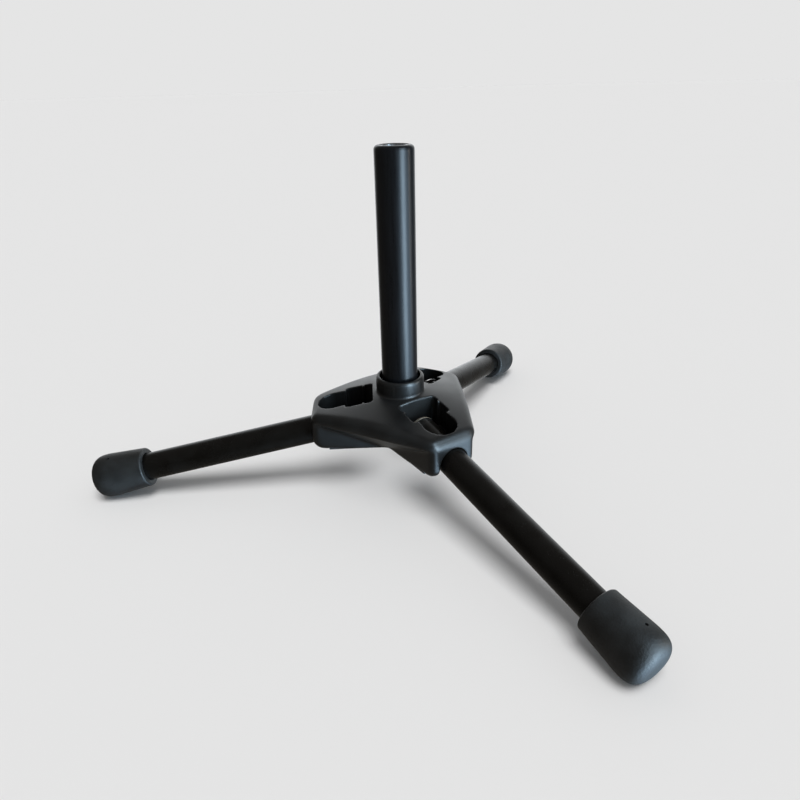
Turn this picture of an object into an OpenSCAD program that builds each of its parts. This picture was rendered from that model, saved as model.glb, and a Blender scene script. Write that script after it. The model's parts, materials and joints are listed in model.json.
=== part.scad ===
/* [Legs] */
// Slope of each opened leg below the horizontal, in degrees
leg_slope = 11.75; // [8:0.25:18]
// Length along a leg's axis from the post's axis to the tip of the foot
leg_reach = 185.9; // [150:0.1:260]
// Outside diameter of the leg tube
leg_d = 16; // [13:0.5:20]
// Wall thickness of the leg tube
leg_wall = 1.2; // [0.8:0.1:2]
// Distance from the post's axis to a leg's pivot
pivot_reach = 38; // [32:0.5:50]
// Depth of the dome on the plug in the tube's inner end
cap_dome = 4; // [2:0.5:6]
// Length of that plug inside the tube
cap_plug_len = 8; // [5:0.5:9]
// Wall thickness of that plug's hollow spigot
cap_plug_wall = 1.5; // [1:0.1:2.5]

/* [Feet] */
// Length of a rubber foot
foot_len = 32; // [26:0.1:45]
// Thickness of the rubber round the tube at the foot's open end
foot_wall = 3.4; // [2:0.1:5]
// How much wider than its open end the foot is, next to its domed end
foot_flare = 2.7; // [0:0.1:6]
// Length of the foot's domed end
foot_dome = 10.6; // [6:0.1:14]
// Squareness of the dome: 2 is an ellipse, more is squarer
foot_square = 3.25; // [2:0.05:5]
// Rubber between the tube's end and the foot's tip
foot_end_wall = 14.5; // [10:0.5:20]
// Height of the flat that each foot stands on, cut off its roundness
foot_flat = 0.3; // [0.1:0.05:0.6]
// Length of the air space in the foot, past the tube's end
air_len = 4.2; // [3:0.1:6]
// Diameter of the air hole into that space
vent_d = 1.6; // [1:0.1:2]
// Turn of the air hole from the foot's top, towards one side
vent_turn = 12; // [0:1:90]

/* [Hub] */
// Depth of the hub below the crossing of the leg axes
hub_drop = 18; // [16:0.5:24]
// Height of the hub's cone, at the post's axis, above that crossing
cone_rise = 15.4; // [14:0.1:20]
// Height of the collar's rim above that crossing
collar_rise = 22; // [19:0.5:30]
// Thickness of the collar's wall
collar_wall = 2; // [1.5:0.1:4]
// Gap between the post and the collar's mouth
collar_gap = 1.5; // [0.5:0.1:2]
// Height of the mouth's floor above the crossing
mouth_floor = 13.5; // [10:0.5:16]
// Radius on the collar's outer rim
collar_round = 1.6; // [0.5:0.1:1.8]
// Thickness of the walls beside a leg channel
lobe_wall = 5.3; // [4.8:0.1:8]
// Material between the window's end and the lobe's end
bridge = 4.1; // [3:0.1:8]
// Distance from the post's axis to the inner wall of a leg channel
boss_reach = 15.9; // [14:0.1:17]
// Radius of a lobe's upright corners
lobe_corner_r = 3.5; // [2:0.5:5]
// How far the cap's ends stand inside the lobes' ends
cap_inset = 0.5; // [0.2:0.1:1]
// Length of the bevels on the cap's corners, above the lobes
cap_bevel = 2.8; // [1:0.1:4]
// Radius of the lobe's lower end, seen from the side
lobe_heel_r = 8; // [4:0.5:10]
// Height of the sloping flank between two lobes
flank_rise = 18.6; // [12:0.1:20]
// Length of the ledge that carries the tube's inner end
ledge_len = 7; // [5:0.1:9]
// Thickness of the hub's floor under the post
hub_floor = 3.5; // [2.5:0.1:5]

/* [Windows] */
// Gap round the standing tube in the window's round end
window_gap = 1.4; // [1:0.1:2.5]
// How far the window's wide part reaches past the channel wall
pocket_side = 3; // [1.5:0.1:3.5]
// Depth of the wide pocket below the leg axis
pocket_drop = 2; // [0:0.5:4]
// Length of the wide part
pocket_len = 15.6; // [12:0.1:17]
// Corner radius of the wide part
pocket_r = 2; // [1:0.25:3]
// Thickness of the guide ribs
rib_t = 1.2; // [0.8:0.1:2]
// Distance from the channel's inner wall to the inner rib
rib_place = 5.4; // [4:0.1:8]

/* [Post] */
// Height of the post above the collar's rim
post_above = 120.7; // [90:0.1:180]
// Outside diameter of the post's sleeve
post_d = 20; // [18:0.5:22]
// Outside diameter of the steel tube in the sleeve
core_d = 14; // [12:0.5:15]
// Wall thickness of that tube
core_wall = 1; // [0.8:0.1:1.5]
// Radius on the sleeve's top edge
post_round = 2.2; // [1:0.1:2.6]
// Length of the threaded insert in the tube's lower end
insert_len = 16; // [10:0.5:30]
// Diameter of the central bolt
bolt_d = 6; // [5:0.5:8]
// Length of the bolt's shank
bolt_len = 16; // [14:1:20]
// Width across the flats of the bolt's head
bolt_af = 10; // [8:0.5:11]
// Height of the bolt's head
bolt_head_h = 4; // [3:0.5:5]
// Outside diameter of the bolt's washer
washer_d = 12.4; // [11:0.2:14]
// Thickness of the washer
washer_t = 1.2; // [0.8:0.1:2]

/* [Pivots] */
// Diameter of a pivot pin
pin_d = 5; // [4:0.5:6]
// How far a pin's end enters the channel's wall
pin_seat = 3.4; // [2.5:0.1:3.5]
// Outside diameter of the bush round the pin
bush_d = 8; // [7:0.5:9]
// Thickness of the keeper plate
plate_t = 2; // [1.5:0.1:3]
// Width of the rim left round the plate's recess
plate_rim = 1; // [0.8:0.1:2]
// Thickness of the plate's tabs, across the lobe
tab_t = 2; // [1.5:0.1:2.5]
// Diameter of the plate's screws
screw_d = 3; // [2.5:0.1:3.5]
// Length of those screws in the hub
screw_grip = 9; // [6:0.5:12]
// Diameter of the screw heads
screw_head_d = 6; // [5:0.2:6.4]
// Height of the screw heads
screw_head_h = 2; // [1.5:0.1:2.5]
// Distance from the post's axis to the screws
screw_reach = 11.6; // [11:0.1:12]

/* [Clearances] */
// Radial clearance of the bush on its pin
pin_run = 0.05; // [0.02:0.01:0.1]
// Radial clearance of the pieces that are pressed or screwed together
seat_gap = 0.03; // [0.01:0.01:0.05]
// Gap between a leg and what it rests against
rest_gap = 0.3; // [0.2:0.05:0.5]
// Gap over and beside the leg tube under the lobe's arch
arch_gap = 0.9; // [0.6:0.1:1.5]
// Gap left at the inner end of a leg as it swings
swing_gap = 0.8; // [0.5:0.1:1.5]
// Gap between the keeper plate and its recess
plate_gap = 0.2; // [0.1:0.05:0.4]

/* [Hidden] */
$fn = 96;
far = 400;

// Legs: index 0 points along -Y, 1 and 2 follow anticlockwise
legs = 3;
leg_step = 360 / legs;
function leg_turn(i) = -90 + leg_step * i;

leg_r = leg_d / 2;
foot_mouth_d = leg_d + 2 * foot_wall;
foot_d = foot_mouth_d + foot_flare;
channel_r = leg_r + arch_gap;
lobe_half = channel_r + lobe_wall;
lobe_reach = pivot_reach + leg_r + window_gap + bridge;
side_reach = lobe_reach * cos(leg_step / 2) + lobe_half * sin(leg_step / 2);
valley_reach = lobe_half / sin(leg_step / 2);

// Along a leg's axis, measured from the post's axis
pivot_s = pivot_reach / cos(leg_slope);
tip_s = pivot_s - (pivot_reach - boss_reach - swing_gap);
tube_start_s = tip_s + cap_dome;
ledge_s = tip_s + ledge_len;
tube_end_s = leg_reach - foot_end_wall;
foot_start_s = leg_reach - foot_len;
foot_wide_s = leg_reach - foot_dome;

// The foot's end is a superellipse, so the depth of its lowest point has a closed form
square_dual = foot_square / (foot_square - 1);
dome_depth = pow(pow(foot_dome * sin(leg_slope), square_dual)
    + pow(foot_d / 2 * cos(leg_slope), square_dual), 1 / square_dual);
axis_h = foot_wide_s * sin(leg_slope) + dome_depth - foot_flat;

// Heights above the floor
hub_z = axis_h - hub_drop;
plate_top = hub_z + plate_t;
floor_top = plate_top + hub_floor;
mouth_z = axis_h + mouth_floor;
collar_z = axis_h + collar_rise;
post_top = collar_z + post_above;
pivot_z = axis_h - pivot_reach * tan(leg_slope);
function cone_z(r) = axis_h + cone_rise - r * tan(leg_slope);

collar_mouth_d = post_d + 2 * collar_gap;
collar_d = collar_mouth_d + 2 * collar_wall;
core_r = core_d / 2;
core_bore_r = core_r - core_wall;
pin_r = pin_d / 2;
pin_half = channel_r + pin_seat;
bush_half = channel_r - rest_gap;
plate_half = lobe_half - plate_rim - plate_gap;
pocket_half = channel_r + pocket_side;
window_r = leg_r + window_gap;
tab_w = pin_d - 0.4;
plate_arm = pivot_reach + pin_r + 1.5;
plate_slot_half = channel_r + plate_gap;

module at_leg(i) {
    rotate([0, 0, leg_turn(i)])
        children();
}

// Local z runs outward along the leg's axis and local x points down
module on_leg_axis() {
    translate([0, 0, axis_h])
        rotate([0, 90 + leg_slope, 0])
            children();
}

// ---------- hub ----------

function turned(p, a) = [p[0] * cos(a) - p[1] * sin(a), p[0] * sin(a) + p[1] * cos(a)];

// The cap's outline: a triangle with its corners cut off, and the six new corners bevelled
module cap_outline() {
    half = leg_step / 2;
    end_x = lobe_reach - cap_inset;
    corner_y = (side_reach - end_x * cos(half)) / sin(half);
    end_y = corner_y - cap_bevel;
    side_x = end_x - cap_bevel * sin(half);
    side_y = corner_y + cap_bevel * cos(half);
    polygon([for (i = [0 : legs - 1],
            p = [[side_x, -side_y], [end_x, -end_y], [end_x, end_y], [side_x, side_y]])
        turned(p, leg_turn(i))]);
}

module lobe_outline() {
    reach = lobe_reach - lobe_corner_r;
    half = lobe_half - lobe_corner_r;
    translate([0, -lobe_half])
        square([reach, 2 * lobe_half]);
    translate([0, -half])
        square([lobe_reach, 2 * half]);
    for (side = [-1, 1])
        translate([reach, side * half])
            circle(lobe_corner_r);
}

// A lobe from the side, x outward and y up, with a round heel
module lobe_profile() {
    heel_x = lobe_reach - lobe_heel_r;
    translate([0, hub_z + lobe_heel_r])
        square([lobe_reach, collar_z - hub_z - lobe_heel_r]);
    translate([0, hub_z])
        square([heel_x, lobe_heel_r]);
    translate([heel_x, hub_z + lobe_heel_r])
        circle(lobe_heel_r);
}

module lobe_block() {
    intersection() {
        linear_extrude(collar_z)
            lobe_outline();
        translate([0, lobe_half + 1, 0])
            rotate([90, 0, 0])
                linear_extrude(2 * lobe_half + 2)
                    lobe_profile();
    }
}

// Everything below the sloping flank between two lobes, in a lobe's frame
module flank_cut() {
    slope = atan2(flank_rise, side_reach - valley_reach);
    rotate([0, 0, leg_step / 2])
        translate([valley_reach, -far / 2, hub_z])
            rotate([0, -slope, 0])
                translate([-far / 2, 0, -far])
                    cube([far, far, far]);
}

module cap_block() {
    difference() {
        translate([0, 0, hub_z])
            linear_extrude(collar_z - hub_z)
                cap_outline();
        for (i = [0 : legs - 1])
            at_leg(i)
                flank_cut();
    }
}

// Everything under the cone that forms the hub's top
module under_cone() {
    edge_r = lobe_reach + lobe_half;
    translate([0, 0, hub_z])
        cylinder(h = cone_z(edge_r) - hub_z, r = edge_r);
    translate([0, 0, cone_z(edge_r)])
        cylinder(h = cone_z(0) - cone_z(edge_r), r1 = edge_r, r2 = 0);
}

module collar() {
    rotate_extrude()
        difference() {
            union() {
                translate([0, mouth_z - hub_floor])
                    square([collar_d / 2, collar_z - mouth_z + hub_floor - collar_round]);
                translate([0, mouth_z])
                    square([collar_d / 2 - collar_round, collar_z - mouth_z]);
                translate([collar_d / 2 - collar_round, collar_z - collar_round])
                    circle(collar_round);
            }
            translate([-far, 0])
                square([far, far]);
        }
}

// The channel that a leg lies in: an arch over the tube, open below from the ledge outward
module leg_channel() {
    on_leg_axis() {
        translate([0, 0, ledge_s])
            linear_extrude(lobe_reach) {
                circle(channel_r);
                translate([0, -channel_r])
                    square([far, 2 * channel_r]);
            }
        translate([0, 0, tip_s - swing_gap])
            cylinder(h = ledge_len + swing_gap, r = leg_r + rest_gap);
    }
}

// The opening in the lobe's top that the tube's inner end rises through
module leg_window() {
    pocket_end = boss_reach + pocket_len;
    inner = boss_reach + pocket_r;
    // Narrow part, down to the leg's axis
    translate([boss_reach, -channel_r, pivot_z])
        cube([pivot_reach - boss_reach, 2 * channel_r, far]);
    translate([pivot_reach, 0, pivot_z])
        cylinder(h = far, r = window_r);
    // Wide part, less its two ribs
    translate([0, 0, axis_h - boss_reach * tan(leg_slope) - pocket_drop])
        linear_extrude(far)
            difference() {
                union() {
                    translate([inner, -pocket_half])
                        square([pocket_end - inner, 2 * pocket_half]);
                    translate([boss_reach, pocket_r - pocket_half])
                        square([inner, 2 * (pocket_half - pocket_r)]);
                    for (side = [-1, 1])
                        translate([inner, side * (pocket_half - pocket_r)])
                            circle(pocket_r);
                }
                for (side = [-1, 1])
                    translate([boss_reach + rib_place, side * (channel_r + pocket_side)])
                        square([rib_t, 2 * pocket_side], center = true);
            }
}

// Room for the bush where the window's round end is narrower than the channel
module bush_room() {
    translate([pivot_reach, 0, pivot_z])
        rotate([90, 0, 0])
            cylinder(h = 2 * channel_r, r = bush_d / 2 + rest_gap, center = true);
}

// Blind seats for the pin's ends, open below for assembly
module pin_seats() {
    translate([pivot_reach, 0, pivot_z])
        rotate([90, 0, 0])
            cylinder(h = 2 * pin_half, r = pin_r + seat_gap, center = true);
    translate([pivot_reach - pin_r - seat_gap, -pin_half, 0])
        cube([pin_d + 2 * seat_gap, 2 * pin_half, pivot_z]);
}

// The three arms of the keeper plate, grown by a gap for its recess
module plate_arms(gap) {
    for (i = [0 : legs - 1])
        rotate(leg_turn(i))
            translate([0, -plate_half - gap])
                square([plate_arm + gap, 2 * (plate_half + gap)]);
}

// The keeper plate from below: each arm is forked, so that its leg can swing down
module plate_outline() {
    difference() {
        plate_arms(0);
        for (i = [0 : legs - 1])
            rotate(leg_turn(i))
                translate([ledge_s, -plate_slot_half])
                    square([far, 2 * plate_slot_half]);
    }
}

module at_screws() {
    for (i = [0 : legs - 1])
        rotate([0, 0, leg_turn(i) + leg_step / 2])
            translate([screw_reach, 0, 0])
                children();
}

module hub_body() {
    color("#2b2d30")
        difference() {
            union() {
                intersection() {
                    union() {
                        cap_block();
                        for (i = [0 : legs - 1])
                            at_leg(i)
                                lobe_block();
                    }
                    under_cone();
                }
                collar();
            }
            translate([0, 0, mouth_z])
                cylinder(h = far, d = collar_mouth_d);
            translate([0, 0, floor_top])
                cylinder(h = far, r = core_r + seat_gap);
            cylinder(h = far, d = bolt_d + 2 * plate_gap);
            for (i = [0 : legs - 1])
                at_leg(i) {
                    leg_channel();
                    leg_window();
                    bush_room();
                    pin_seats();
                }
            translate([0, 0, hub_z - 1])
                linear_extrude(plate_t + 1)
                    plate_arms(plate_gap);
            at_screws()
                cylinder(h = plate_top + screw_grip, d = screw_d + 2 * seat_gap);
        }
}

// ---------- post ----------

module post_sleeve() {
    color("#17181b")
        difference() {
            union() {
                translate([0, 0, mouth_z])
                    cylinder(h = post_top - mouth_z - post_round, d = post_d);
                translate([0, 0, mouth_z])
                    cylinder(h = post_top - mouth_z, r = post_d / 2 - post_round);
                translate([0, 0, post_top - post_round])
                    rotate_extrude()
                        translate([post_d / 2 - post_round, 0])
                            intersection() {
                                circle(post_round);
                                square(post_round);
                            }
            }
            cylinder(h = far, r = core_r + seat_gap);
        }
}

module post_tube() {
    color("#9a9ca0")
        difference() {
            translate([0, 0, floor_top])
                cylinder(h = post_top - floor_top, r = core_r);
            cylinder(h = far, r = core_bore_r);
        }
}

module post_insert() {
    color("#b5a26a")
        difference() {
            translate([0, 0, floor_top])
                cylinder(h = insert_len, r = core_bore_r - seat_gap);
            cylinder(h = far, r = bolt_d / 2 + seat_gap);
        }
}

module post_bolt() {
    color("#8d9095") {
        translate([0, 0, hub_z - washer_t])
            cylinder(h = bolt_len, d = bolt_d);
        translate([0, 0, hub_z - washer_t - bolt_head_h])
            cylinder(h = bolt_head_h, r = bolt_af / 2 / cos(30), $fn = 6);
    }
}

module post_washer() {
    color("#a3a6aa")
        translate([0, 0, hub_z - washer_t])
            difference() {
                cylinder(h = washer_t, d = washer_d);
                translate([0, 0, -1])
                    cylinder(h = washer_t + 2, d = bolt_d + 2 * plate_gap);
            }
}

// ---------- pivots ----------

module keeper_plate() {
    tab_h = pivot_z - pin_r - seat_gap - hub_z;
    tab_y = channel_r + pin_seat - plate_gap - tab_t;
    color("#3a3c40")
        difference() {
            union() {
                translate([0, 0, hub_z])
                    linear_extrude(plate_t)
                        plate_outline();
                for (i = [0 : legs - 1], side = [0, 1])
                    at_leg(i)
                        mirror([0, side, 0])
                            translate([pivot_reach - tab_w / 2, tab_y, hub_z])
                                cube([tab_w, tab_t, tab_h]);
            }
            cylinder(h = far, d = bolt_d + 2 * plate_gap);
            at_screws()
                cylinder(h = far, d = screw_d + 2 * plate_gap);
        }
}

module plate_screws() {
    color("#8d9095")
        at_screws() {
            translate([0, 0, hub_z - screw_head_h])
                cylinder(h = screw_head_h, d = screw_head_d);
            translate([0, 0, hub_z - screw_head_h])
                cylinder(h = plate_t + screw_grip, d = screw_d);
        }
}

module pivot_pin(i) {
    color("#a9acb0")
        at_leg(i)
            translate([pivot_reach, 0, pivot_z])
                rotate([90, 0, 0])
                    cylinder(h = 2 * (pin_half - plate_gap), r = pin_r, center = true);
}

module pivot_bush(i) {
    color("#d8d4c8")
        at_leg(i)
            translate([pivot_reach, 0, pivot_z])
                rotate([90, 0, 0])
                    difference() {
                        cylinder(h = 2 * bush_half, d = bush_d, center = true);
                        cylinder(h = far, r = pin_r + pin_run, center = true);
                    }
}

// ---------- legs ----------

// The hole through a tube, and through its plug where that reaches so far
module bush_bore() {
    translate([pivot_reach, 0, pivot_z])
        rotate([90, 0, 0])
            cylinder(h = far, r = bush_d / 2 + seat_gap, center = true);
}

module leg_tube(i) {
    color("#141416")
        at_leg(i)
            difference() {
                on_leg_axis()
                    translate([0, 0, tube_start_s])
                        difference() {
                            cylinder(h = tube_end_s - tube_start_s, r = leg_r);
                            translate([0, 0, -1])
                                cylinder(h = far, r = leg_r - leg_wall);
                        }
                bush_bore();
            }
}

module leg_cap(i) {
    spigot_r = leg_r - leg_wall - seat_gap;
    dome_steps = 8;
    color("#55504a")
        at_leg(i)
            difference() {
                on_leg_axis()
                    rotate_extrude()
                        difference() {
                            polygon(concat(
                                [for (k = [0 : dome_steps])
                                    [leg_r * sin(90 * k / dome_steps),
                                        tube_start_s - cap_dome * cos(90 * k / dome_steps)]],
                                [[spigot_r, tube_start_s],
                                    [spigot_r, tube_start_s + cap_plug_len],
                                    [0, tube_start_s + cap_plug_len]]));
                            translate([0, tube_start_s])
                                square([spigot_r - cap_plug_wall, cap_plug_len + 1]);
                        }
                bush_bore();
            }
}

// Half of the foot's outline: the taper, then the superellipse that closes it
module foot_outline() {
    dome_steps = 14;
    mouth_round = 1;
    polygon(concat(
        [[0, foot_start_s],
            [foot_mouth_d / 2 - mouth_round, foot_start_s],
            [foot_mouth_d / 2, foot_start_s + mouth_round]],
        [for (k = [0 : dome_steps])
            let (a = 90 * k / dome_steps)
            [foot_d / 2 * pow(cos(a), 2 / foot_square),
                foot_wide_s + foot_dome * pow(sin(a), 2 / foot_square)]]));
}

module foot(i) {
    color("#26282b")
        at_leg(i)
            difference() {
                on_leg_axis()
                    difference() {
                        rotate_extrude()
                            foot_outline();
                        cylinder(h = tube_end_s + seat_gap, r = leg_r + seat_gap);
                        // Air space past the tube's end, and its hole
                        cylinder(h = tube_end_s + air_len, r = leg_r - leg_wall);
                        rotate([0, 0, -vent_turn])
                            translate([0, 0, tube_end_s + air_len / 2])
                                rotate([0, -90, 0])
                                    cylinder(h = foot_d, d = vent_d);
                    }
                translate([-far, -far / 2, -far])
                    cube([2 * far, far, far]);
            }
}

hub_body();
post_sleeve();
post_tube();
post_insert();
post_bolt();
post_washer();
keeper_plate();
plate_screws();
pivot_pin(0);  // front_pivot_pin
pivot_pin(1);  // right_pivot_pin
pivot_pin(2);  // left_pivot_pin
leg_tube(0);  // front_leg_tube
leg_tube(1);  // right_leg_tube
leg_tube(2);  // left_leg_tube
leg_cap(0);  // front_leg_cap
leg_cap(1);  // right_leg_cap
leg_cap(2);  // left_leg_cap
pivot_bush(0);  // front_pivot_bush
pivot_bush(1);  // right_pivot_bush
pivot_bush(2);  // left_pivot_bush
foot(0);  // front_foot
foot(1);  // right_foot
foot(2);  // left_foot
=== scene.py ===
"""Trumpet stand: a post in a three-lobed hub, with three folding tube legs on rubber feet.

Lengths are worked in millimetres in the object's own frame and turned to metres at the end of each piece.
"""
import json
import math

import bmesh
import bpy
from mathutils import Matrix, Vector


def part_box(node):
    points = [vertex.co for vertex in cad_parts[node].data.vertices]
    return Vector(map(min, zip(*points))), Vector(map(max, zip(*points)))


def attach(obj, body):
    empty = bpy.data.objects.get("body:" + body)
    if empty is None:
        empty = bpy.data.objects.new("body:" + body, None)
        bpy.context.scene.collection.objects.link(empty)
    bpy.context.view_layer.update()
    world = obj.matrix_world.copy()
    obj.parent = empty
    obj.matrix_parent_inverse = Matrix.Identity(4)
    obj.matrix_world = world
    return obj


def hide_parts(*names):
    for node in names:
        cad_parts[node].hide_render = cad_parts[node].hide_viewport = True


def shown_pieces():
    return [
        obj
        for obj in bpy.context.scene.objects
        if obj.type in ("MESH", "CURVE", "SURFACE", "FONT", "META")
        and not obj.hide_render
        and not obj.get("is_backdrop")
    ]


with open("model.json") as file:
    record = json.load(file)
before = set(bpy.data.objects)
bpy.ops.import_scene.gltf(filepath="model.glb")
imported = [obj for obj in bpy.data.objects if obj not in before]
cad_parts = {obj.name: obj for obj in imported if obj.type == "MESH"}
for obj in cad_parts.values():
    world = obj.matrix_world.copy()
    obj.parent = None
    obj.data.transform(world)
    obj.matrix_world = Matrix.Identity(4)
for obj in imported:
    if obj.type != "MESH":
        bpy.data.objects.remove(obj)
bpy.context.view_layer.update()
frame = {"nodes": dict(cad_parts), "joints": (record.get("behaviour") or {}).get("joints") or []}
MM = 0.001

# ---------------------------------------------------------------- sizes

LEG_NAMES = ("front", "right", "left")
HUB_DROP = 18.0
CONE_RISE = 15.4
LEG_SLOPE = math.radians(11.75)
LEG_STEP = math.radians(120)
LEG_R = 8.0
LEG_WALL = 1.2
PIVOT_REACH = 38.0
CHANNEL_R = 8.9
LOBE_HALF = 14.2
LOBE_REACH = 51.5
BOSS_REACH = 15.9
TIP_S = 17.5133
CAP_DOME = 4.0
TUBE_START_S = TIP_S + CAP_DOME
TUBE_END_S = 171.4
FOOT_START_S = 153.9
FOOT_WIDE_S = 175.3
FOOT_TIP_S = 185.9
FOOT_DOME = 10.6
FOOT_SQUARENESS = 3.25
FOOT_MOUTH_R = 11.4
FOOT_R = 12.75
LEDGE_LEN = 7.0
SWING_GAP = 0.8
REST_GAP = 0.3
COLLAR_R = 13.6
COLLAR_MOUTH_R = 11.5
FLANK_RISE = 18.6
PLATE_T = 2.0
PLATE_HALF = 13.0
PLATE_ARM = 42.0
PIN_SLOT_HALF = 2.55
PIN_HALF = 12.3
BUSH_R = 4.0
WASHER_T = 1.2
BOLT_R = 3.0
SCREW_REACH = 11.6
SEAT_GAP = 0.03


def node_box(node):
    low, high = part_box(node)
    return low / MM, high / MM


hub_low, hub_high = node_box("hub_body")
sleeve_low, sleeve_high = node_box("post_sleeve")
core_low, core_high = node_box("post_tube")
HUB_Z = hub_low.z
COLLAR_Z = hub_high.z
AXIS_H = HUB_Z + HUB_DROP
PIVOT_Z = frame["joints"][0]["pos_m"][2] / MM
CONE_TOP = AXIS_H + CONE_RISE
MOUTH_Z = sleeve_low.z
POST_TOP = sleeve_high.z
POST_R = sleeve_high.x
CORE_R = core_high.x
SIDE_REACH = LOBE_REACH * math.cos(LEG_STEP / 2) + LOBE_HALF * math.sin(LEG_STEP / 2)
VALLEY_REACH = LOBE_HALF / math.sin(LEG_STEP / 2)


def leg_turn(i):
    return Matrix.Rotation(-math.pi / 2 + LEG_STEP * i, 4, "Z")


def leg_axis(i):
    """From a space whose Z runs outward along the leg's axis and whose X points down."""
    lean = Matrix.Rotation(math.pi / 2 + LEG_SLOPE, 4, "Y")
    return leg_turn(i) @ Matrix.Translation((0, 0, AXIS_H)) @ lean


def pivot_axis(i):
    """From a space whose Z runs along the leg's pivot pin."""
    across = Matrix.Rotation(math.pi / 2, 4, "X")
    return leg_turn(i) @ Matrix.Translation((PIVOT_REACH, 0, PIVOT_Z)) @ across


def flank_turn(i):
    """From a space whose X points halfway between this leg and the next."""
    return leg_turn(i) @ Matrix.Rotation(LEG_STEP / 2, 4, "Z")


def screw_axis(i):
    """From a space whose Z runs along one of the plate's screws."""
    return flank_turn(i) @ Matrix.Translation((SCREW_REACH, 0, 0))


# ---------------------------------------------------------------- making meshes


def to_object(bm, name):
    bmesh.ops.recalc_face_normals(bm, faces=bm.faces)
    mesh = bpy.data.meshes.new(name)
    bm.to_mesh(mesh)
    bm.free()
    piece = bpy.data.objects.new(name, mesh)
    bpy.context.scene.collection.objects.link(piece)
    return piece


def block(low, high):
    bm = bmesh.new()
    bmesh.ops.create_cube(bm, size=1)
    size = Vector(high) - Vector(low)
    bmesh.ops.scale(bm, vec=size, verts=bm.verts)
    bmesh.ops.translate(bm, vec=(Vector(high) + Vector(low)) / 2, verts=bm.verts)
    return bm


def rod(radius, start, end, segments=64):
    """A round bar along Z."""
    bm = bmesh.new()
    bmesh.ops.create_cone(
        bm, cap_ends=True, segments=segments, radius1=radius, radius2=radius, depth=end - start,
    )
    bmesh.ops.translate(bm, vec=(0, 0, (start + end) / 2), verts=bm.verts)
    return bm


def prism(points, low, high):
    """An upright prism on an outline drawn anticlockwise."""
    bm = bmesh.new()
    face = bm.faces.new([bm.verts.new((x, y, low)) for x, y in points])
    made = bmesh.ops.extrude_face_region(bm, geom=[face])
    top = [v for v in made["geom"] if isinstance(v, bmesh.types.BMVert)]
    bmesh.ops.translate(bm, vec=(0, 0, high - low), verts=top)
    bmesh.ops.recalc_face_normals(bm, faces=bm.faces)
    return bm


def arc(centre_r, centre_z, radius, start, end, steps):
    """Points of a round edge in a turned profile, angles in degrees from outward."""
    angles = [math.radians(start + (end - start) * k / steps) for k in range(steps + 1)]
    return [(centre_r + radius * math.cos(a), centre_z + radius * math.sin(a)) for a in angles]


def turned(profile, steps=96, closed=False):
    """A profile of (radius, height) points spun about Z. Points on the axis close the shape."""
    bm = bmesh.new()
    verts = [bm.verts.new((r, 0, z)) for r, z in profile]
    edges = [bm.edges.new(pair) for pair in zip(verts, verts[1:])]
    if closed:
        edges.append(bm.edges.new((verts[-1], verts[0])))
    bmesh.ops.spin(
        bm, geom=verts + edges, axis=(0, 0, 1), cent=(0, 0, 0), dvec=(0, 0, 0),
        angle=math.tau, steps=steps, use_merge=True, use_duplicate=False,
    )
    bmesh.ops.remove_doubles(bm, verts=bm.verts, dist=1e-4)
    bmesh.ops.dissolve_degenerate(bm, dist=1e-4, edges=bm.edges)
    bmesh.ops.recalc_face_normals(bm, faces=bm.faces)
    return bm


def soften(bm, edges, size, segments=3):
    bmesh.ops.bevel(
        bm, geom=list(edges), offset=size, segments=segments, profile=0.5,
        affect="EDGES", clamp_overlap=True, material=-1,
    )


def placed(bm, matrix):
    bmesh.ops.transform(bm, matrix=matrix, verts=bm.verts)
    return bm


def baked(piece, *modifiers):
    """Adds modifiers, applies them and leaves the plain result as the piece's mesh."""
    for kind, values in modifiers:
        modifier = piece.modifiers.new(kind.title(), kind)
        for key, value in values.items():
            setattr(modifier, key, value)
    bpy.context.view_layer.update()
    result = bpy.data.meshes.new_from_object(piece.evaluated_get(bpy.context.evaluated_depsgraph_get()))
    piece.modifiers.clear()
    piece.data = result
    return piece


def combined(piece, operation, tools):
    """Joins tools to a piece or cuts them from it, one after another."""
    for bm in tools:
        tool = to_object(bm, "tool")
        baked(piece, ("BOOLEAN", {"operation": operation, "object": tool, "solver": "MANIFOLD"}))
        bpy.data.objects.remove(tool)
    return piece


def finished(piece, name, body, slot, material, *nodes, smooth=30):
    """Turns a piece to metres, shades it, names it, and hides the CAD parts it stands for."""
    piece.data.transform(Matrix.Scale(MM, 4))
    piece.name = piece.data.name = name
    for polygon in piece.data.polygons:
        polygon.use_smooth = True
    piece.data.set_sharp_from_angle(angle=math.radians(smooth))
    piece.data.materials.clear()
    piece.data.materials.append(material)
    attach(piece, body)
    if nodes:
        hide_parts(*nodes)
    return piece


# ---------------------------------------------------------------- shader groups


def group_of(name, inputs, outputs):
    tree = bpy.data.node_groups.new(name, "ShaderNodeTree")
    for label, kind, value in inputs:
        socket = tree.interface.new_socket(name=label, in_out="INPUT", socket_type=kind)
        socket.default_value = value
    for label, kind in outputs:
        tree.interface.new_socket(name=label, in_out="OUTPUT", socket_type=kind)
    return tree, tree.nodes.new("NodeGroupInput"), tree.nodes.new("NodeGroupOutput")


def add(tree, kind, links=(), **values):
    """A node with its settings, its socket values by name or number, and its incoming links."""
    node = tree.nodes.new(kind)
    for key, value in values.items():
        setattr(node, key, value)
    for socket, source in dict(links).items():
        if isinstance(source, bpy.types.NodeSocket):
            tree.links.new(source, node.inputs[socket])
        else:
            node.inputs[socket].default_value = source
    return node


def math_node(tree, operation, a, b=None, clamp=False):
    links = {0: a} if b is None else {0: a, 1: b}
    return add(tree, "ShaderNodeMath", links, operation=operation, use_clamp=clamp).outputs[0]


def ranged(tree, value, low, high, to_low=0.0, to_high=1.0):
    links = {"Value": value, "From Min": low, "From Max": high, "To Min": to_low, "To Max": to_high}
    return add(tree, "ShaderNodeMapRange", links).outputs[0]


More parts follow.
